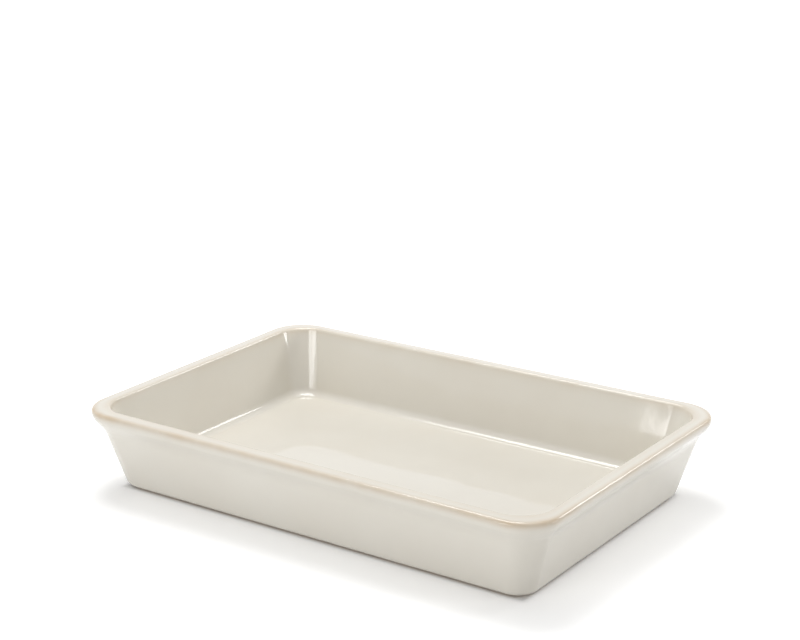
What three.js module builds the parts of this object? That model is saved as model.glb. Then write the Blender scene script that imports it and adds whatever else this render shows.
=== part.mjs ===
// Rectangular stoneware roasting dish: a fired clay body with the glaze coats that are fused to it.
// Millimetres, +Z up, X along the length, origin on the standing plane under the middle of the dish.
// The whole dish is one cross-section carried round a rounded rectangle. In the cross-section a place
// is given by its inset from the outline of the rim and by its height above the standing plane.

import * as THREE from 'three';

// Outline at the widest line of the rim
const RIM_LENGTH = 400;
const RIM_WIDTH = 270;
const RIM_CORNER_RADIUS = 29;
const HEIGHT = 65.5;

// Lip: a round nose outside and a round edge inside, joined by a top that slopes slightly out.
// Below its widest line the nose goes on in a fuller curve.
const LIP_WIDTH = 11.5;
const NOSE_RADIUS = 2.6;
const NOSE_DROP = 3.1;
const NOSE_UNDER_RADIUS = 10;
const LIP_INNER_RADIUS = 2.5;

// Outer wall: it leans out from the base to a bend below the rim, and flares from there to the nose
const BASE_INSET = 22.1;
const BASE_CORNER_RADIUS = 15;
const BEND_INSET = 8.4;
const BEND_DROP = 17.5;
const BEND_RADIUS = 8;

// Inside: the floor is measured from the standing plane, and the wall level, at the height of the floor.
// The corners are rounder than outside, so the lip and the wall are thickest there.
const WALL_THICKNESS = 6;
const FLOOR_HEIGHT = 11.5;
const FLOOR_FILLET_RADIUS = 8;
const MOUTH_CORNER_RADIUS = 25;
const FLOOR_CORNER_RADIUS = 18;

// Foot: a flat bare ring round a shallow recess, set back under the rounded lower edge of the wall
const BASE_EDGE_RADIUS = 3.2;
const BASE_EDGE_LIFT = 1.2;
const FOOT_SETBACK = 3;
const FOOT_STEP_SLOPE = 1.5;
const FOOT_WIDTH = 8;
const FOOT_RECESS = 2.5;
const RECESS_SLOPE = 2.5;
const RECESS_BARE_MARGIN = 2;

// Glaze: the coats stop short of the foot ring, and leave a line of clay along the nose of the rim
const GLAZE_THICKNESS = 0.5;
const BASE_EDGE_BARE_TURN = THREE.MathUtils.degToRad(20);
const NOSE_BARE_BELOW = THREE.MathUtils.degToRad(12);
const NOSE_BARE_ABOVE = THREE.MathUtils.degToRad(42);

// Fineness of the round stretches, in straight steps
const CORNER_STEPS = 8;
const BASE_EDGE_BARE_STEPS = 2;
const BASE_EDGE_GLAZED_STEPS = 4;
const BEND_STEPS = 3;
const NOSE_UNDER_STEPS = 4;
const NOSE_BARE_LOW_STEPS = 2;
const NOSE_BARE_HIGH_STEPS = 4;
const NOSE_HIGH_STEPS = 3;
const LIP_INNER_STEPS = 7;
const FLOOR_FILLET_STEPS = 6;

// Directions in the cross-section, as angles from the inward level direction
const UP = Math.PI / 2;
const OUT = Math.PI;
const DOWN = 3 * Math.PI / 2;

// The corner radius shrinks in proportion as the outline moves in, outside through the radii of the rim
// and the base, inside through those of the mouth and the floor
function outerCorner(inset) {
  return RIM_CORNER_RADIUS * (BASE_CORNER_RADIUS / RIM_CORNER_RADIUS) ** (inset / BASE_INSET);
}

function innerCorner(inset) {
  const share = (inset - LIP_WIDTH) / (floorEdge.inset - LIP_WIDTH);
  return MOUTH_CORNER_RADIUS * (FLOOR_CORNER_RADIUS / MOUTH_CORNER_RADIUS) ** share;
}

// Rounded rectangle at one inset and height, counter-clockwise seen from above
function ring({ inset, z, corner }) {
  const x = RIM_LENGTH / 2 - inset - corner;
  const y = RIM_WIDTH / 2 - inset - corner;
  const outline = new THREE.Path();
  [[x, y], [-x, y], [-x, -y], [x, -y]].forEach(([cx, cy], quarter) => {
    const start = quarter * Math.PI / 2;
    outline.absarc(cx, cy, corner, start, start + Math.PI / 2, false);
  });
  return outline.getPoints(CORNER_STEPS / 2).map((p) => new THREE.Vector3(p.x, p.y, z));
}

// A place on the finished surface, with the angle of the direction that leads out of the material
function place(inset, z, angle, corner) {
  return { inset, z, angle, corner };
}

// A place on the underside
function underPlace(inset, z) {
  return place(inset, z, DOWN, outerCorner(inset));
}

// The same place, sunk below the finished surface
function sunk({ inset, z, angle, corner }, depth) {
  const shift = -depth * Math.cos(angle);
  return place(inset + shift, z - depth * Math.sin(angle), angle, corner - shift);
}

// Places along an arc; a hollow arc has its centre outside the material
function arc(cornerAt, centre, radius, from, to, steps, hollow = false) {
  const reach = hollow ? -radius : radius;
  return Array.from({ length: steps + 1 }, (_, i) => {
    const angle = from + (to - from) * i / steps;
    const inset = centre.inset + reach * Math.cos(angle);
    return place(inset, centre.z + reach * Math.sin(angle), angle, cornerAt(inset));
  });
}

// Centre of the arc that rounds the corner where two straight runs meet
function roundingCentre(corner, radius, angleBefore, angleAfter, hollow = false) {
  const reach = hollow ? -radius : radius;
  const scale = reach / (1 + Math.cos(angleAfter - angleBefore));
  return {
    inset: corner.inset - scale * (Math.cos(angleBefore) + Math.cos(angleAfter)),
    z: corner.z - scale * (Math.sin(angleBefore) + Math.sin(angleAfter)),
  };
}

// Outward angle of the straight run from a circle to a circle or, with radius 0, to a point
function tangentAngle(from, fromRadius, to, toRadius, side) {
  const across = to.inset - from.inset;
  const rise = to.z - from.z;
  const turn = Math.acos((fromRadius - toRadius) / Math.hypot(across, rise));
  return Math.atan2(rise, across) + side * turn;
}

// Corners and centres of the cross-section
const bend = { inset: BEND_INSET, z: HEIGHT - BEND_DROP };
const wallLean = Math.atan((BASE_INSET - bend.inset) / bend.z);
const baseEdge = { inset: BASE_INSET - BASE_EDGE_LIFT * Math.tan(wallLean), z: BASE_EDGE_LIFT };
const noseCentre = { inset: NOSE_RADIUS, z: HEIGHT - NOSE_DROP };
const noseUnderCentre = { inset: NOSE_UNDER_RADIUS, z: noseCentre.z };
const lipCentre = { inset: LIP_WIDTH - LIP_INNER_RADIUS, z: HEIGHT - LIP_INNER_RADIUS };
const floorEdge = {
  inset: BASE_INSET - FLOOR_HEIGHT * Math.tan(wallLean) + WALL_THICKNESS,
  z: FLOOR_HEIGHT,
};

// Outward angles of the straight runs
const wallAngle = OUT + wallLean;
const flareAngle = tangentAngle(noseUnderCentre, NOSE_UNDER_RADIUS, bend, 0, -1) + 2 * Math.PI;
const lipTopAngle = tangentAngle(noseCentre, NOSE_RADIUS, lipCentre, LIP_INNER_RADIUS, 1);
const innerWallAngle = tangentAngle(lipCentre, LIP_INNER_RADIUS, floorEdge, 0, 1);

// Finished surface, from the foot up the outside, over the lip and down to the floor
const bareLow = OUT + NOSE_BARE_BELOW;
const bareHigh = OUT - NOSE_BARE_ABOVE;
const baseEdgeCentre = roundingCentre(baseEdge, BASE_EDGE_RADIUS, DOWN, wallAngle);
const bendCentre = roundingCentre(bend, BEND_RADIUS, wallAngle, flareAngle, true);
const filletCentre = roundingCentre(floorEdge, FLOOR_FILLET_RADIUS, innerWallAngle, UP, true);

const baseEdgeGlazed = DOWN - BASE_EDGE_BARE_TURN;
const outside = [
  ...arc(outerCorner, baseEdgeCentre, BASE_EDGE_RADIUS, baseEdgeGlazed, wallAngle, BASE_EDGE_GLAZED_STEPS),
  ...arc(outerCorner, bendCentre, BEND_RADIUS, wallAngle, flareAngle, BEND_STEPS, true),
  ...arc(outerCorner, noseUnderCentre, NOSE_UNDER_RADIUS, flareAngle, bareLow, NOSE_UNDER_STEPS),
];
const nose = [
  ...arc(outerCorner, noseUnderCentre, NOSE_UNDER_RADIUS, bareLow, OUT, NOSE_BARE_LOW_STEPS),
  ...arc(outerCorner, noseCentre, NOSE_RADIUS, OUT, bareHigh, NOSE_BARE_HIGH_STEPS).slice(1),
];
const inside = [
  ...arc(outerCorner, noseCentre, NOSE_RADIUS, bareHigh, lipTopAngle, NOSE_HIGH_STEPS),
  ...arc(innerCorner, lipCentre, LIP_INNER_RADIUS, lipTopAngle, innerWallAngle, LIP_INNER_STEPS),
  ...arc(innerCorner, filletCentre, FLOOR_FILLET_RADIUS, innerWallAngle, UP, FLOOR_FILLET_STEPS, true),
];

// Underside, from the edge of the glazed panel out over the foot to the lower edge of the wall
const stepInset = baseEdgeCentre.inset + FOOT_SETBACK;
const footOuterInset = stepInset + FOOT_STEP_SLOPE;
const footInnerInset = footOuterInset + FOOT_WIDTH;
const recessInset = footInnerInset + RECESS_SLOPE;
const panelEdge = underPlace(recessInset + RECESS_BARE_MARGIN, FOOT_RECESS);
const foot = [
  panelEdge,
  underPlace(recessInset, FOOT_RECESS),
  underPlace(footInnerInset, 0),
  underPlace(footOuterInset, 0),
  underPlace(stepInset, BASE_EDGE_LIFT),
  ...arc(outerCorner, baseEdgeCentre, BASE_EDGE_RADIUS, DOWN, baseEdgeGlazed, BASE_EDGE_BARE_STEPS),
];

// The clay lies under each coat by the thickness of the glaze
function underGlaze(places) {
  return places.map((p) => sunk(p, GLAZE_THICKNESS));
}

// Closed solid through a run of rings; an open run is closed by flat ends, a loop joins end to start.
// The run goes out along the underside, up the outside and back in over the top.
function loft(places, loop = false) {
  const rings = places.map(ring);
  const count = rings[0].length;
  const points = rings.flat();
  const faces = [];
  const bands = loop ? rings.length : rings.length - 1;
  for (let band = 0; band < bands; band += 1) {
    const low = band * count;
    const high = ((band + 1) % rings.length) * count;
    for (let i = 0; i < count; i += 1) {
      const next = (i + 1) % count;
      faces.push(low + i, low + next, high + next, low + i, high + next, high + i);
    }
  }
  if (!loop) {
    const last = (rings.length - 1) * count;
    const under = points.push(new THREE.Vector3(0, 0, places[0].z)) - 1;
    const top = points.push(new THREE.Vector3(0, 0, places[rings.length - 1].z)) - 1;
    for (let i = 0; i < count; i += 1) {
      const next = (i + 1) % count;
      faces.push(under, next, i, top, last + i, last + next);
    }
  }
  const geometry = new THREE.BufferGeometry().setFromPoints(points);
  geometry.setIndex(faces);
  geometry.computeVertexNormals();
  return geometry;
}

function piece(name, geometry, material) {
  const mesh = new THREE.Mesh(geometry, material);
  mesh.name = name;
  return mesh;
}

const clay = new THREE.MeshStandardMaterial({ color: 0xcfb897, roughness: 0.75, metalness: 0 });
const glaze = new THREE.MeshStandardMaterial({ color: 0xe0dccf, roughness: 0.12, metalness: 0 });

// Fired clay, bare on the foot ring and along the nose of the rim
function stonewareBody() {
  const clayRun = [
    ...underGlaze([panelEdge]),
    ...foot,
    ...underGlaze(outside),
    ...nose,
    ...underGlaze(inside),
  ];
  return piece('stoneware_body', loft(clayRun), clay);
}

// Coat that lines the dish and runs over the top of the lip
function insideGlaze() {
  return piece('inside_glaze', loft([...underGlaze(inside).reverse(), ...inside]), glaze);
}

// Coat on the outer wall, from its rounded lower edge to the under side of the nose
function outsideGlaze() {
  return piece('outside_glaze', loft([...outside, ...underGlaze(outside).reverse()], true), glaze);
}

// Coat on the panel inside the foot ring
function baseGlaze() {
  return piece('base_glaze', loft([panelEdge, ...underGlaze([panelEdge])]), glaze);
}

const dish = new THREE.Group();
dish.add(stonewareBody(), insideGlaze(), outsideGlaze(), baseGlaze());

export default dish;
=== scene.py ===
import math
import random

import bpy
import numpy as np
from mathutils import Matrix, Vector


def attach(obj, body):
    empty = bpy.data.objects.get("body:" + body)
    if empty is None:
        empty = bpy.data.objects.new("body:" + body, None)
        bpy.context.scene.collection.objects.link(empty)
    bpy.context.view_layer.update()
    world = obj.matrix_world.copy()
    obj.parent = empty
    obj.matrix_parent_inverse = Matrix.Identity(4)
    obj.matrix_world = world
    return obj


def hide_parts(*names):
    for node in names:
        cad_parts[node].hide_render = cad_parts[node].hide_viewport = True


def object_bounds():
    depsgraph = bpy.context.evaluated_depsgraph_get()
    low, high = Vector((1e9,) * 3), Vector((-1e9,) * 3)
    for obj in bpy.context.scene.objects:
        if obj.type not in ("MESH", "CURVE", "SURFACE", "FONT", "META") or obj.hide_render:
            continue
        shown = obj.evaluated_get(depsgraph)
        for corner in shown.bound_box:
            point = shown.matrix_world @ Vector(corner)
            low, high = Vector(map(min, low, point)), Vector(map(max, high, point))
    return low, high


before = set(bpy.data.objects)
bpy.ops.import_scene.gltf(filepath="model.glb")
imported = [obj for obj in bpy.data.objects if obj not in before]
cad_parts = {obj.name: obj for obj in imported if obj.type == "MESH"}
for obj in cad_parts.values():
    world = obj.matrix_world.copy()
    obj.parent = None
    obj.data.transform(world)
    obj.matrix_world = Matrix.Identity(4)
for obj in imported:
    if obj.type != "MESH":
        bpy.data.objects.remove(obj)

# Rectangular stoneware roasting dish: one cross-section carried round a rounded rectangle, in fine steps.
# Metres, +Z up, X along the length. A place in the cross-section is its inset from the outline of the rim,
# its height, the angle of the direction that leads out of the material, the radius of the outline's corner
# there, and how fast that radius changes with the inset.

cad_low, cad_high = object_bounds()
MM = 0.001

# Outline at the widest line of the rim
RIM_LENGTH = cad_high.x - cad_low.x
RIM_WIDTH = cad_high.y - cad_low.y
HEIGHT = cad_high.z - cad_low.z
RIM_CORNER_RADIUS = 29 * MM

# Lip
LIP_WIDTH = 11.5 * MM
NOSE_RADIUS = 2.6 * MM
NOSE_DROP = 3.1 * MM
NOSE_UNDER_RADIUS = 10 * MM
LIP_INNER_RADIUS = 2.5 * MM

# Outer wall. The bend, and the edge of the base below, are rounder than in the solids, as the photograph
# shows them.
BASE_INSET = 22.1 * MM
BASE_CORNER_RADIUS = 15 * MM
BEND_INSET = 8.4 * MM
BEND_DROP = 17.5 * MM
BEND_RADIUS = 26 * MM

# Inside
WALL_THICKNESS = 6 * MM
FLOOR_HEIGHT = 11.5 * MM
FLOOR_FILLET_RADIUS = 8 * MM
MOUTH_CORNER_RADIUS = 25 * MM
FLOOR_CORNER_RADIUS = 18 * MM

# Foot
BASE_EDGE_RADIUS = 7 * MM
BASE_EDGE_LIFT = 1.2 * MM
FOOT_SETBACK = 0.2 * MM
FOOT_STEP_SLOPE = 1.5 * MM
FOOT_WIDTH = 8 * MM
FOOT_RECESS = 2.5 * MM
RECESS_SLOPE = 2.5 * MM
RECESS_BARE_MARGIN = 2 * MM
FOOT_EDGE = 0.08 * MM

# Glaze
GLAZE_THICKNESS = 0.5 * MM
BASE_EDGE_BARE_TURN = math.radians(20)
NOSE_BARE_BELOW = math.radians(12)
NOSE_BARE_ABOVE = math.radians(42)

# Fineness, in straight steps
CORNER_STEPS = 22
LONG_SIDE_STEPS = 50
SHORT_SIDE_STEPS = 34
BASE_EDGE_BARE_STEPS = 4
BASE_EDGE_GLAZED_STEPS = 10
WALL_STEPS = 14
BEND_STEPS = 12
FLARE_STEPS = 6
NOSE_UNDER_STEPS = 10
NOSE_BARE_LOW_STEPS = 4
NOSE_BARE_HIGH_STEPS = 8
NOSE_HIGH_STEPS = 8
LIP_TOP_STEPS = 6
LIP_INNER_STEPS = 16
INNER_WALL_STEPS = 14
FLOOR_FILLET_STEPS = 14
FLOOR_STEPS = 14
PANEL_STEPS = 5
HIDDEN_STRIDE = 4

# Slight unevenness of the pressed and glazed surface, as a sum of waves
RELIEF_WAVES = 28
RELIEF_HEIGHT = 0.006 * MM
RELIEF_SHORTEST = 22 * MM
RELIEF_LONGEST = 90 * MM
RELIEF_SEED = 7

# Directions in the cross-section, from the inward level direction
UP = math.pi / 2
OUT = math.pi
DOWN = 3 * math.pi / 2


def outer_corner(inset):
    """Corner radius outside, and how fast it changes with the inset."""
    rate = math.log(BASE_CORNER_RADIUS / RIM_CORNER_RADIUS) / BASE_INSET
    radius = RIM_CORNER_RADIUS * math.exp(rate * inset)
    return radius, rate * radius


def inner_corner(inset):
    """Corner radius inside, and how fast it changes with the inset."""
    rate = math.log(FLOOR_CORNER_RADIUS / MOUTH_CORNER_RADIUS) / (floor_edge[0] - LIP_WIDTH)
    radius = MOUTH_CORNER_RADIUS * math.exp(rate * (inset - LIP_WIDTH))
    return radius, rate * radius


def outline(inset, radius):
    """Points of the rounded rectangle at one inset, counter-clockwise from above, and the way out there."""
    half_x = RIM_LENGTH / 2 - inset - radius
    half_y = RIM_WIDTH / 2 - inset - radius
    corners = [(half_x, half_y), (-half_x, half_y), (-half_x, -half_y), (half_x, -half_y)]
    points = []
    outward = []
    for quarter, (cx, cy) in enumerate(corners):
        start = quarter * math.pi / 2
        for step in range(CORNER_STEPS):
            angle = start + math.pi / 2 * step / CORNER_STEPS
            way = (math.cos(angle), math.sin(angle))
            points.append((cx + radius * way[0], cy + radius * way[1]))
            outward.append(way)
        way = (math.cos(start + math.pi / 2), math.sin(start + math.pi / 2))
        nx, ny = corners[(quarter + 1) % len(corners)]
        steps = SHORT_SIDE_STEPS if quarter % 2 else LONG_SIDE_STEPS
        for step in range(steps):
            along = step / steps
            x = cx + (nx - cx) * along
            y = cy + (ny - cy) * along
            points.append((x + radius * way[0], y + radius * way[1]))
            outward.append(way)
    return np.array(points), np.array(outward)


def place_at(corner_at, inset, z, angle):
    """A place whose corner radius follows one of the two corner laws."""
    return (inset, z, angle, *corner_at(inset))


def arc(corner_at, centre, radius, start, end, steps, hollow=False):
    """Places along an arc, between two angles of the way out of the material."""
    reach = -radius if hollow else radius
    run = []
    for step in range(steps + 1):
        angle = start + (end - start) * step / steps
        inset = centre[0] + reach * math.cos(angle)
        run.append(place_at(corner_at, inset, centre[1] + reach * math.sin(angle), angle))
    return run


def straight(first, last, steps):
    """Places strictly between two places on a straight run."""
    run = []
    for step in range(1, steps):
        along = step / steps
        run.append(tuple(a + (b - a) * along for a, b in zip(first, last)))
    return run


def sunk(place, depth):
    """The place straight below another, inside the material."""
    inset, z, angle, corner, slope = place
    shift = -depth * math.cos(angle)
    return inset + shift, z - depth * math.sin(angle), angle, corner - shift, slope


def rounding_centre(corner, radius, before, after, hollow=False):
    """Centre of the arc that rounds a corner between two straight runs."""
    reach = -radius if hollow else radius
    scale = reach / (1 + math.cos(after - before))
    return (
        corner[0] - scale * (math.cos(before) + math.cos(after)),
        corner[1] - scale * (math.sin(before) + math.sin(after)),
    )


def tangent_angle(start, start_radius, end, end_radius, side):
    """Angle of the way out along the straight line that touches two arcs."""
    across = end[0] - start[0]
    rise = end[1] - start[1]
    turn = math.acos((start_radius - end_radius) / math.hypot(across, rise))
    return math.atan2(rise, across) + side * turn


# Corners, centres and angles of the cross-section
bend_corner = (BEND_INSET, HEIGHT - BEND_DROP)
wall_lean = math.atan((BASE_INSET - bend_corner[0]) / bend_corner[1])
base_edge = (BASE_INSET - BASE_EDGE_LIFT * math.tan(wall_lean), BASE_EDGE_LIFT)
nose_centre = (NOSE_RADIUS, HEIGHT - NOSE_DROP)
nose_under_centre = (NOSE_UNDER_RADIUS, nose_centre[1])
lip_centre = (LIP_WIDTH - LIP_INNER_RADIUS, HEIGHT - LIP_INNER_RADIUS)
floor_edge = (BASE_INSET - FLOOR_HEIGHT * math.tan(wall_lean) + WALL_THICKNESS, FLOOR_HEIGHT)
wall_angle = OUT + wall_lean
flare_angle = tangent_angle(nose_under_centre, NOSE_UNDER_RADIUS, bend_corner, 0, -1) + 2 * math.pi
lip_top_angle = tangent_angle(nose_centre, NOSE_RADIUS, lip_centre, LIP_INNER_RADIUS, 1)
inner_wall_angle = tangent_angle(lip_centre, LIP_INNER_RADIUS, floor_edge, 0, 1)
bare_low = OUT + NOSE_BARE_BELOW
bare_high = OUT - NOSE_BARE_ABOVE
base_edge_centre = rounding_centre(base_edge, BASE_EDGE_RADIUS, DOWN, wall_angle)
bend_centre = rounding_centre(bend_corner, BEND_RADIUS, wall_angle, flare_angle, True)
fillet_centre = rounding_centre(floor_edge, FLOOR_FILLET_RADIUS, inner_wall_angle, UP, True)

# Outside run, from the line where the glaze starts to the nose
base_edge_glazed = DOWN - BASE_EDGE_BARE_TURN
base_edge_arc = arc(
    outer_corner, base_edge_centre, BASE_EDGE_RADIUS, base_edge_glazed, wall_angle, BASE_EDGE_GLAZED_STEPS)
bend_arc = arc(outer_corner, bend_centre, BEND_RADIUS, wall_angle, flare_angle, BEND_STEPS, True)
nose_under_arc = arc(
    outer_corner, nose_under_centre, NOSE_UNDER_RADIUS, flare_angle, bare_low, NOSE_UNDER_STEPS)
outside_run = [
    *base_edge_arc, *straight(base_edge_arc[-1], bend_arc[0], WALL_STEPS),
    *bend_arc, *straight(bend_arc[-1], nose_under_arc[0], FLARE_STEPS),
    *nose_under_arc,
]

# Bare strip along the nose
nose_run = [
    *arc(outer_corner, nose_under_centre, NOSE_UNDER_RADIUS, bare_low, OUT, NOSE_BARE_LOW_STEPS),
    *arc(outer_corner, nose_centre, NOSE_RADIUS, OUT, bare_high, NOSE_BARE_HIGH_STEPS)[1:],
]

# Inside run, from the nose over the lip, down the wall and in to the middle of the floor
nose_high_arc = arc(outer_corner, nose_centre, NOSE_RADIUS, bare_high, lip_top_angle, NOSE_HIGH_STEPS)
lip_arc = arc(inner_corner, lip_centre, LIP_INNER_RADIUS, lip_top_angle, inner_wall_angle, LIP_INNER_STEPS)
fillet_arc = arc(
    inner_corner, fillet_centre, FLOOR_FILLET_RADIUS, inner_wall_angle, UP, FLOOR_FILLET_STEPS, True)
middle_inset = RIM_WIDTH / 2 - FLOOR_FILLET_RADIUS
floor_middle = place_at(inner_corner, middle_inset, FLOOR_HEIGHT, UP)
inside_run = [
    *nose_high_arc, *straight(nose_high_arc[-1], lip_arc[0], LIP_TOP_STEPS),
    *lip_arc, *straight(lip_arc[-1], fillet_arc[0], INNER_WALL_STEPS),
    *fillet_arc, *straight(fillet_arc[-1], floor_middle, FLOOR_STEPS),
    floor_middle,
]

# Underside, from the middle out over the glazed panel and the bare foot
step_inset = base_edge_centre[0] + FOOT_SETBACK
foot_outer_inset = step_inset + FOOT_STEP_SLOPE
foot_inner_inset = foot_outer_inset + FOOT_WIDTH
recess_inset = foot_inner_inset + RECESS_SLOPE
panel_edge = place_at(outer_corner, recess_inset + RECESS_BARE_MARGIN, FOOT_RECESS, DOWN)
panel_middle = place_at(outer_corner, middle_inset, FOOT_RECESS, DOWN)
panel_run = [panel_middle, *straight(panel_middle, panel_edge, PANEL_STEPS), panel_edge]
slope_angle = DOWN + math.atan2(FOOT_RECESS, RECESS_SLOPE)
step_angle = DOWN - math.atan2(BASE_EDGE_LIFT, FOOT_STEP_SLOPE)


def foot_turn(inset, z, angle_before, angle_after):
    """The two places just before and just after an edge of the foot, which is a hair off sharp."""
    pair = []
    for shift, angle in ((-FOOT_EDGE, angle_before), (FOOT_EDGE, angle_after)):
        pair.append(
            place_at(outer_corner, inset + shift * math.sin(angle), z - shift * math.cos(angle), angle))
    return pair


foot_run = [
    panel_edge,
    *foot_turn(recess_inset, FOOT_RECESS, DOWN, slope_angle),
    *foot_turn(foot_inner_inset, 0, slope_angle, DOWN),
    *foot_turn(foot_outer_inset, 0, DOWN, step_angle),
    *foot_turn(step_inset, BASE_EDGE_LIFT, step_angle, DOWN),
    *arc(outer_corner, base_edge_centre, BASE_EDGE_RADIUS, DOWN, base_edge_glazed, BASE_EDGE_BARE_STEPS),
]

# Waves of the slight unevenness
chance = random.Random(RELIEF_SEED)
wave_vectors = []
wave_phases = []
for wave in range(RELIEF_WAVES):
    direction = Vector((chance.gauss(0, 1), chance.gauss(0, 1), chance.gauss(0, 1))).normalized()
    length = chance.uniform(RELIEF_SHORTEST, RELIEF_LONGEST)
    wave_vectors.append(direction * (2 * math.pi / length))
    wave_phases.append(chance.uniform(0, 2 * math.pi))
wave_vectors = np.array(wave_vectors)
wave_phases = np.array(wave_phases)


def relief(points):
    """Height of the unevenness at each point, and its gradient."""
    phase = points @ wave_vectors.T + wave_phases
    return RELIEF_HEIGHT * np.sin(phase).sum(1), RELIEF_HEIGHT * np.cos(phase) @ wave_vectors


OUTLINE_NUDGE = 0.01 * MM


def ring(place, uneven=0.0):
    """Points and normals of the surface at one place of the cross-section, all the way round."""
    inset, z, angle, corner, slope = place
    flat, outward = outline(inset, corner)
    points = np.column_stack([flat, np.full(len(flat), z)])
    nudged_in = outline(inset + OUTLINE_NUDGE, corner + slope * OUTLINE_NUDGE)[0]
    nudged_out = outline(inset - OUTLINE_NUDGE, corner - slope * OUTLINE_NUDGE)[0]
    inward_shift = (nudged_in - nudged_out) / (2 * OUTLINE_NUDGE)
    across = np.column_stack([inward_shift * math.sin(angle), np.full(len(flat), -math.cos(angle))])
    around = np.column_stack([-outward[:, 1], outward[:, 0], np.zeros(len(flat))])
    normals = np.cross(around, across)
    normals /= np.linalg.norm(normals, axis=1)[:, None]
    if uneven:
        height, gradient = relief(points)
        points = points + normals * (height * uneven)[:, None]
        gradient = gradient - normals * (gradient * normals).sum(1)[:, None]
        normals = normals - gradient * uneven
        normals /= np.linalg.norm(normals, axis=1)[:, None]
    return points, normals


def hidden(run):
    """The clay side of a coat: fewer rings, sunk by the thickness of the glaze."""
    kept = run[::HIDDEN_STRIDE]
    if kept[-1] != run[-1]:
        kept = [*kept, run[-1]]
    return [sunk(place, GLAZE_THICKNESS) for place in kept]


# How thin the glaze lies, from 0 for the full coat to 1 for the line where the clay shows through most.
# It thins along a line just above the widest one, and more faintly over the inner edge of the lip.
# Spread wide from that inner edge over the lip top, the same tan is also a painted shade that darkens the
# lip.
THIN_LINE_ABOVE = math.radians(42)
THIN_LINE_LEVEL = 1.0
THIN_LINE_FADE = 3 * MM
# Over the inner edge of the lip: thin glaze, and, spread over the lip top, a painted shade.
THIN_AND_SHADE_LIP_LEVEL = 0.45
THIN_AND_SHADE_LIP_FADE = 4.5 * MM
THIN_ON_SIDES = 0.55
THIN_CORNER_REACH = 38 * MM


def on_arc(centre, radius, angle):
    """Inset and height of a point on an arc."""
    return centre[0] + radius * math.cos(angle), centre[1] + radius * math.sin(angle)


lip_edge_angle = (lip_top_angle + inner_wall_angle) / 2
thin_glaze_and_shade_spots = [
    (on_arc(nose_centre, NOSE_RADIUS, OUT - THIN_LINE_ABOVE), THIN_LINE_LEVEL, THIN_LINE_FADE),
    (on_arc(lip_centre, LIP_INNER_RADIUS, lip_edge_angle), THIN_AND_SHADE_LIP_LEVEL, THIN_AND_SHADE_LIP_FADE),
]


def glaze_thinness_and_shade(place):
    """Thinness of the glaze at one place of the cross-section, with the painted shade over the lip top."""
    return max(
        level * math.exp(-((math.dist(place[:2], spot) / fade) ** 2))
        for spot, level, fade in thin_glaze_and_shade_spots
    )


def corner_share(points):
    """The glaze draws back more from the corners of the rim than from its sides, and the painted shade over
    the lip top follows it.
    """
    from_corner = np.hypot(RIM_LENGTH / 2 - abs(points[:, 0]), RIM_WIDTH / 2 - abs(points[:, 1]))
    return THIN_ON_SIDES + (1 - THIN_ON_SIDES) * np.exp(-((from_corner / THIN_CORNER_REACH) ** 2))


def rows(run, uneven=0.0, material=0):
    """Rings of a run, each with its unevenness and the material of the band that follows it."""
    return [(place, uneven, material) for place in run]


def build(name, table, materials, loop=False):
    """Closed mesh through a table of rings, with the normals of the smooth surface."""
    points = []
    normals = []
    thin_glaze_and_shade = []
    for place, uneven, _ in table:
        ring_points, ring_normals = ring(place, uneven)
        points.append(ring_points)
        normals.append(ring_normals)
        # Thin glaze, and painted shade over the lip top, at each point.
        thin_glaze_and_shade.append(glaze_thinness_and_shade(place) * corner_share(ring_points))
    count = len(points[0])
    faces = []
    face_materials = []
    bands = len(table) if loop else len(table) - 1
    for band in range(bands):
        low = band * count
        high = ((band + 1) % len(table)) * count
        for i in range(count):
            after = (i + 1) % count
            faces.append((low + i, low + after, high + after, high + i))
            face_materials.append(table[band][2])
    points = np.concatenate(points)
    normals = np.concatenate(normals)
    thin_glaze_and_shade = np.concatenate(thin_glaze_and_shade)
    if not loop:
        ends = [(0, -1.0), (len(table) - 1, 1.0)]
        for row, way in ends:
            first = row * count
            centre = len(points)
            middle = points[first:first + count].mean(0)
            points = np.vstack([points, middle])
            normals = np.vstack([normals, (0, 0, way)])
            thin_glaze_and_shade = np.append(thin_glaze_and_shade, thin_glaze_and_shade[first])
            for i in range(count):
                after = (i + 1) % count
                pair = (first + i, first + after) if way > 0 else (first + after, first + i)
                faces.append((centre, *pair))
                face_materials.append(table[row][2])
    mesh = bpy.data.meshes.new(name)
    mesh.from_pydata(points.tolist(), [], faces)
    for material in materials:
        mesh.materials.append(material)
    mesh.polygons.foreach_set("material_index", face_materials)
    mesh.polygons.foreach_set("use_smooth", [True] * len(faces))
    mesh.attributes.new("thin_glaze_and_shade", "FLOAT", "POINT").data.foreach_set("value", thin_glaze_and_shade)
    mesh.update()
    mesh.normals_split_custom_set_from_vertices(normals.tolist())
    piece = bpy.data.objects.new(name, mesh)
    bpy.context.scene.collection.objects.link(piece)
    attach(piece, "root")
    return piece


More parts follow.
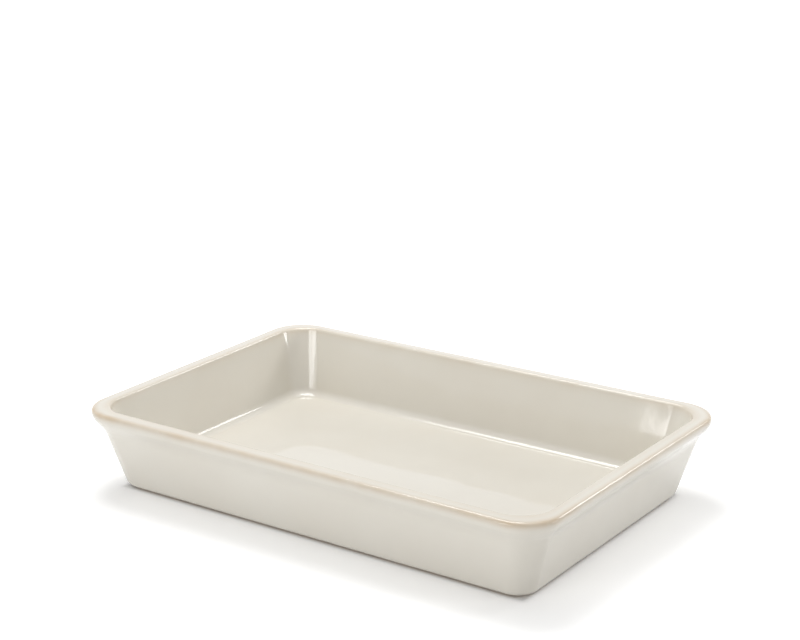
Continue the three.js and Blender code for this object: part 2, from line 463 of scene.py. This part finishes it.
# Looks
NOISE_LOW = 0.3
NOISE_HIGH = 0.7
GLAZE_CLOUD_SCALE = 14
GLAZE_CLOUD_DETAIL = 3
GLAZE_PATCH_SCALE = 45
GLAZE_PATCH_DETAIL = 3
GLAZE_PATCH_LOW = 0.55
GLAZE_PATCH_HIGH = 1.1
GLAZE_SMEAR_SCALE = 30
GLAZE_SMEAR_DETAIL = 2
GLAZE_ROUGHNESS_LOW = 0.035
GLAZE_ROUGHNESS_HIGH = 0.06
GLAZE_PEEL_SCALE = 220
GLAZE_PEEL_DETAIL = 2
GLAZE_PEEL_STRENGTH = 0.02
GLAZE_PEEL_DEPTH = 0.4 * MM
GLAZE_IOR = 1.52
CLAY_CLOUD_SCALE = 60
CLAY_CLOUD_DETAIL = 5
CLAY_GRAIN_SCALE = 1400
CLAY_GRAIN_DETAIL = 3
CLAY_GRAIN_STRENGTH = 0.35
CLAY_GRAIN_DEPTH = 0.2 * MM
CLAY_ROUGHNESS_LOW = 0.72
CLAY_ROUGHNESS_HIGH = 0.9


def srgb(red, green, blue):
    """Linear colour of one written as 0 to 255."""
    def linear(value):
        value = value / 255
        return value / 12.92 if value <= 0.04045 else ((value + 0.055) / 1.055) ** 2.4
    return (linear(red), linear(green), linear(blue), 1.0)


CREAM = srgb(228, 224, 214)
CREAM_DEEP = srgb(225, 220, 209)
TAN = srgb(204, 181, 149)
CLAY_LIGHT = srgb(206, 184, 150)
CLAY_DARK = srgb(190, 165, 130)


def new_material(name):
    """A material with its nodes, its links and its shader."""
    material = bpy.data.materials.new(name)
    material.use_nodes = True
    nodes = material.node_tree.nodes
    return material, nodes, material.node_tree.links, nodes["Principled BSDF"]


def noise(nodes, links, coordinates, scale, detail):
    """Value of a noise over the object's own coordinates."""
    node = nodes.new("ShaderNodeTexNoise")
    node.inputs["Scale"].default_value = scale
    node.inputs["Detail"].default_value = detail
    links.new(coordinates.outputs["Object"], node.inputs["Vector"])
    return node.outputs["Fac"]


def spread(nodes, links, source, low, high):
    """Map the middle of a noise to a span of values."""
    node = nodes.new("ShaderNodeMapRange")
    node.inputs["From Min"].default_value = NOISE_LOW
    node.inputs["From Max"].default_value = NOISE_HIGH
    node.inputs["To Min"].default_value = low
    node.inputs["To Max"].default_value = high
    links.new(source, node.inputs["Value"])
    return node.outputs["Result"]


def maths(nodes, links, operation, *values):
    """Result of a sum on sockets and plain numbers."""
    node = nodes.new("ShaderNodeMath")
    node.operation = operation
    for socket, value in zip(node.inputs, values):
        if isinstance(value, (int, float)):
            socket.default_value = value
        else:
            links.new(value, socket)
    return node.outputs["Value"]


def ramp(nodes, links, source, start, end, top):
    """Smooth rise from 0 to a top value between two values of the source."""
    node = nodes.new("ShaderNodeMapRange")
    node.interpolation_type = "SMOOTHSTEP"
    node.inputs["From Min"].default_value = start
    node.inputs["From Max"].default_value = end
    node.inputs["To Max"].default_value = top
    links.new(source, node.inputs["Value"])
    return node.outputs["Result"]


def mix_colour(nodes, links, share, first, second):
    """Colour between a first one, plain or from a socket, and a second one."""
    node = nodes.new("ShaderNodeMix")
    node.data_type = "RGBA"
    links.new(share, node.inputs["Factor"])
    colour_a, colour_b = (socket for socket in node.inputs if socket.type == "RGBA")
    if isinstance(first, tuple):
        colour_a.default_value = first
    else:
        links.new(first, colour_a)
    colour_b.default_value = second
    return next(socket for socket in node.outputs if socket.type == "RGBA")


def add_bump(nodes, links, shader, height, strength, depth):
    """Let a height tilt the shader's normal."""
    node = nodes.new("ShaderNodeBump")
    node.inputs["Strength"].default_value = strength
    node.inputs["Distance"].default_value = depth
    links.new(height, node.inputs["Height"])
    links.new(node.outputs["Normal"], shader.inputs["Normal"])


def seen_or_mirrored(nodes, links):
    """1 for what the camera sees, straight or by way of a shiny or clear surface, and 0 for light."""
    path = nodes.new("ShaderNodeLightPath")
    opaque = maths(nodes, links, "MAXIMUM", path.outputs["Is Camera Ray"], path.outputs["Is Glossy Ray"])
    return maths(nodes, links, "MAXIMUM", opaque, path.outputs["Is Transmission Ray"])


def glaze_material():
    """Glossy cream glaze that goes tan where it lies thin over an edge, and over the lip top where the tan
    is painted shade.
    """
    material, nodes, links, shader = new_material("cream_glaze")
    coordinates = nodes.new("ShaderNodeTexCoord")
    cloud = noise(nodes, links, coordinates, GLAZE_CLOUD_SCALE, GLAZE_CLOUD_DETAIL)
    cream = mix_colour(nodes, links, spread(nodes, links, cloud, 0, 1), CREAM, CREAM_DEEP)

    thin_glaze_and_shade = nodes.new("ShaderNodeAttribute")
    thin_glaze_and_shade.attribute_name = "thin_glaze_and_shade"
    patch = noise(nodes, links, coordinates, GLAZE_PATCH_SCALE, GLAZE_PATCH_DETAIL)
    patch_level = spread(nodes, links, patch, GLAZE_PATCH_LOW, GLAZE_PATCH_HIGH)
    patchy = maths(nodes, links, "MULTIPLY", thin_glaze_and_shade.outputs["Fac"], patch_level)
    # Tan where the glaze is thin, and as painted shade over the lip top.
    links.new(mix_colour(nodes, links, patchy, cream, TAN), shader.inputs["Base Color"])

    smear = noise(nodes, links, coordinates, GLAZE_SMEAR_SCALE, GLAZE_SMEAR_DETAIL)
    roughness = spread(nodes, links, smear, GLAZE_ROUGHNESS_LOW, GLAZE_ROUGHNESS_HIGH)
    links.new(roughness, shader.inputs["Roughness"])
    peel = noise(nodes, links, coordinates, GLAZE_PEEL_SCALE, GLAZE_PEEL_DETAIL)
    add_bump(nodes, links, shader, peel, GLAZE_PEEL_STRENGTH, GLAZE_PEEL_DEPTH)
    shader.inputs["IOR"].default_value = GLAZE_IOR
    return material


def clay_material():
    """Matt fired clay with a fine sandy grain."""
    material, nodes, links, shader = new_material("bare_clay")
    coordinates = nodes.new("ShaderNodeTexCoord")
    cloud = noise(nodes, links, coordinates, CLAY_CLOUD_SCALE, CLAY_CLOUD_DETAIL)
    colour = mix_colour(nodes, links, spread(nodes, links, cloud, 0, 1), CLAY_LIGHT, CLAY_DARK)
    links.new(colour, shader.inputs["Base Color"])
    grain = noise(nodes, links, coordinates, CLAY_GRAIN_SCALE, CLAY_GRAIN_DETAIL)
    roughness = spread(nodes, links, grain, CLAY_ROUGHNESS_LOW, CLAY_ROUGHNESS_HIGH)
    links.new(roughness, shader.inputs["Roughness"])
    add_bump(nodes, links, shader, grain, CLAY_GRAIN_STRENGTH, CLAY_GRAIN_DEPTH)
    return material


glaze = glaze_material()
clay = clay_material()

# Pieces
UNEVEN = 1.0
GLAZE_ON_BODY = 1
body = build(
    "dish_clay_body",
    [
        *rows(hidden([panel_middle, panel_edge])),
        *rows(foot_run),
        *rows(hidden(outside_run)),
        *rows(nose_run, UNEVEN, GLAZE_ON_BODY),
        *rows(hidden(inside_run)),
    ],
    [clay, glaze],
)
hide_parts("stoneware_body")

inside_coat = build(
    "dish_inside_coat",
    [*rows(hidden(inside_run)[::-1]), *rows(inside_run, UNEVEN)],
    [glaze],
)
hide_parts("inside_glaze")

outside_coat = build(
    "dish_outside_coat",
    [*rows(outside_run, UNEVEN), *rows(hidden(outside_run)[::-1])],
    [glaze],
    loop=True,
)
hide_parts("outside_glaze")

base_coat = build(
    "dish_base_coat",
    [*rows(panel_run), *rows(hidden(panel_run)[::-1])],
    [glaze],
)
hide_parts("base_glaze")

# Floor. To the camera it is lifted a little towards white close round the foot, a painted light over the
# dish's shadow there, and to full white far off; under the dish it is not lifted, so the shade beneath the
# edge stays dark.
FLOOR_HALF = 8.0
FLOOR_WHITE = 0.9
FLOOR_ROUGHNESS = 0.9
# Painted light on the floor round the foot, lightening the dish's shadow.
NEAR_PAINTED_LIGHT = 0.27
NEAR_PAINTED_LIGHT_INSET = 27 * MM
NEAR_PAINTED_LIGHT_REACH = 7 * MM
FAR_LIFT = 1.0
FAR_LIFT_START = 0.45
FAR_LIFT_END = 1.3
floor_corners = [(x * FLOOR_HALF, y * FLOOR_HALF, 0) for x, y in ((-1, -1), (1, -1), (1, 1), (-1, 1))]
floor_mesh = bpy.data.meshes.new("studio_floor")
floor_mesh.from_pydata(floor_corners, [], [(0, 1, 2, 3)])
floor = bpy.data.objects.new("studio_floor", floor_mesh)
bpy.context.scene.collection.objects.link(floor)
floor_material, nodes, links, shader = new_material("studio_white")
shader.inputs["Base Color"].default_value = (FLOOR_WHITE, FLOOR_WHITE, FLOOR_WHITE, 1)
shader.inputs["Roughness"].default_value = FLOOR_ROUGHNESS
shader.inputs["Specular IOR Level"].default_value = 0.0
spot = nodes.new("ShaderNodeTexCoord")
away = nodes.new("ShaderNodeVectorMath")
away.operation = "LENGTH"
links.new(spot.outputs["Object"], away.inputs[0])
far = ramp(nodes, links, away.outputs["Value"], FAR_LIFT_START, FAR_LIFT_END, FAR_LIFT)
axes = nodes.new("ShaderNodeSeparateXYZ")
links.new(spot.outputs["Object"], axes.inputs["Vector"])
along = maths(nodes, links, "ABSOLUTE", axes.outputs["X"])
across = maths(nodes, links, "ABSOLUTE", axes.outputs["Y"])
past_end = maths(nodes, links, "SUBTRACT", along, RIM_LENGTH / 2 - NEAR_PAINTED_LIGHT_INSET)
past_side = maths(nodes, links, "SUBTRACT", across, RIM_WIDTH / 2 - NEAR_PAINTED_LIGHT_INSET)
past = maths(nodes, links, "MAXIMUM", past_end, past_side)
# Painted light that rises from nothing under the edge of the base to its full level just outside.
near_painted_light = ramp(nodes, links, past, 0, NEAR_PAINTED_LIGHT_REACH, NEAR_PAINTED_LIGHT)
lift = maths(nodes, links, "ADD", near_painted_light, far)
shown_lift = maths(nodes, links, "MULTIPLY", lift, seen_or_mirrored(nodes, links))
shader.inputs["Emission Color"].default_value = (1, 1, 1, 1)
links.new(shown_lift, shader.inputs["Emission Strength"])
floor_mesh.materials.append(floor_material)

# White surroundings: full white where they are seen or mirrored, lower as light
AMBIENT = 0.33
world = bpy.data.worlds.new("studio")
bpy.context.scene.world = world
world.use_nodes = True
nodes = world.node_tree.nodes
links = world.node_tree.links
background = nodes["Background"]
background.inputs["Color"].default_value = (1, 1, 1, 1)
level = nodes.new("ShaderNodeMapRange")
level.inputs["To Min"].default_value = AMBIENT
level.inputs["To Max"].default_value = 1.0
links.new(seen_or_mirrored(nodes, links), level.inputs["Value"])
links.new(level.outputs["Result"], background.inputs["Strength"])


# Lamps
FLOOR_MIDDLE = (0, 0, 0)
DISH_MIDDLE = (0, 0, 0.05)


def softbox(name, place, target, width, depth, brightness):
    """Rectangular lamp of a given surface brightness, turned to a point."""
    lamp = bpy.data.lights.new(name, "AREA")
    lamp.shape = "RECTANGLE"
    lamp.size = width
    lamp.size_y = depth
    lamp.energy = brightness * math.pi * width * depth
    holder = bpy.data.objects.new(name, lamp)
    bpy.context.scene.collection.objects.link(holder)
    holder.location = place
    holder.visible_camera = False
    holder.rotation_mode = "QUATERNION"
    holder.rotation_quaternion = (Vector(target) - Vector(place)).to_track_quat("-Z", "Y")


softbox("top_box", (-0.5, 0.35, 1.6), FLOOR_MIDDLE, width=0.75, depth=0.75, brightness=8.0)
softbox("over_box", (0.1, 0.0, 1.7), FLOOR_MIDDLE, width=1.2, depth=1.2, brightness=1.3)
softbox("rear_box", (0.9, 1.5, 0.95), DISH_MIDDLE, width=0.5, depth=0.4, brightness=8.0)
softbox("right_box", (1.6, 0.7, 0.42), DISH_MIDDLE, width=0.4, depth=0.4, brightness=9.3)
softbox("front_left_box", (-0.401, -1.655, 0.405), DISH_MIDDLE, width=0.5, depth=0.53, brightness=6.4)
softbox("front_box", (0.08, -1.70, 0.405), DISH_MIDDLE, width=0.42, depth=0.4, brightness=5.6)

# Camera at the angle of the photograph
PICTURE_WIDTH = 800
FOCAL_PIXELS = 1871.25
CAMERA_AZIMUTH = math.radians(34.456)
CAMERA_ELEVATION = math.radians(21.274)
CAMERA_DISTANCE = 1.40368
CAMERA_YAW = math.radians(-1.896)
CAMERA_PITCH = math.radians(2.586)
CAMERA_AIM = Vector((0, 0, 0.0305))
SENSOR_WIDTH = 36.0
LENS_SHIFT_X = 0.08
LENS_SHIFT_Y = 0.06
CLIP_NEAR = 0.05
CLIP_FAR = 50.0
back = Vector((
    math.sin(CAMERA_AZIMUTH) * math.cos(CAMERA_ELEVATION),
    -math.cos(CAMERA_AZIMUTH) * math.cos(CAMERA_ELEVATION),
    math.sin(CAMERA_ELEVATION),
))
level_right = (-back).cross(Vector((0, 0, 1))).normalized()
level_up = level_right.cross(-back)
sight = (
    -back * (math.cos(CAMERA_YAW) * math.cos(CAMERA_PITCH))
    + level_right * (math.sin(CAMERA_YAW) * math.cos(CAMERA_PITCH))
    + level_up * math.sin(CAMERA_PITCH)
)
turned_right = sight.cross(level_up).normalized()
turned_up = turned_right.cross(sight)
camera_data = bpy.data.cameras.new("photo_camera")
camera_data.sensor_fit = "HORIZONTAL"
camera_data.sensor_width = SENSOR_WIDTH
camera_data.lens = FOCAL_PIXELS / PICTURE_WIDTH * SENSOR_WIDTH
camera_data.shift_x = LENS_SHIFT_X
camera_data.shift_y = LENS_SHIFT_Y
camera_data.clip_start = CLIP_NEAR
camera_data.clip_end = CLIP_FAR
camera = bpy.data.objects.new("photo_camera", camera_data)
bpy.context.scene.collection.objects.link(camera)
turn = Matrix((turned_right, turned_up, -sight)).transposed()
camera.matrix_world = Matrix.Translation(CAMERA_AIM + back * CAMERA_DISTANCE) @ turn.to_4x4()
bpy.context.scene.camera = camera

bpy.context.scene.view_settings.view_transform = "Standard"
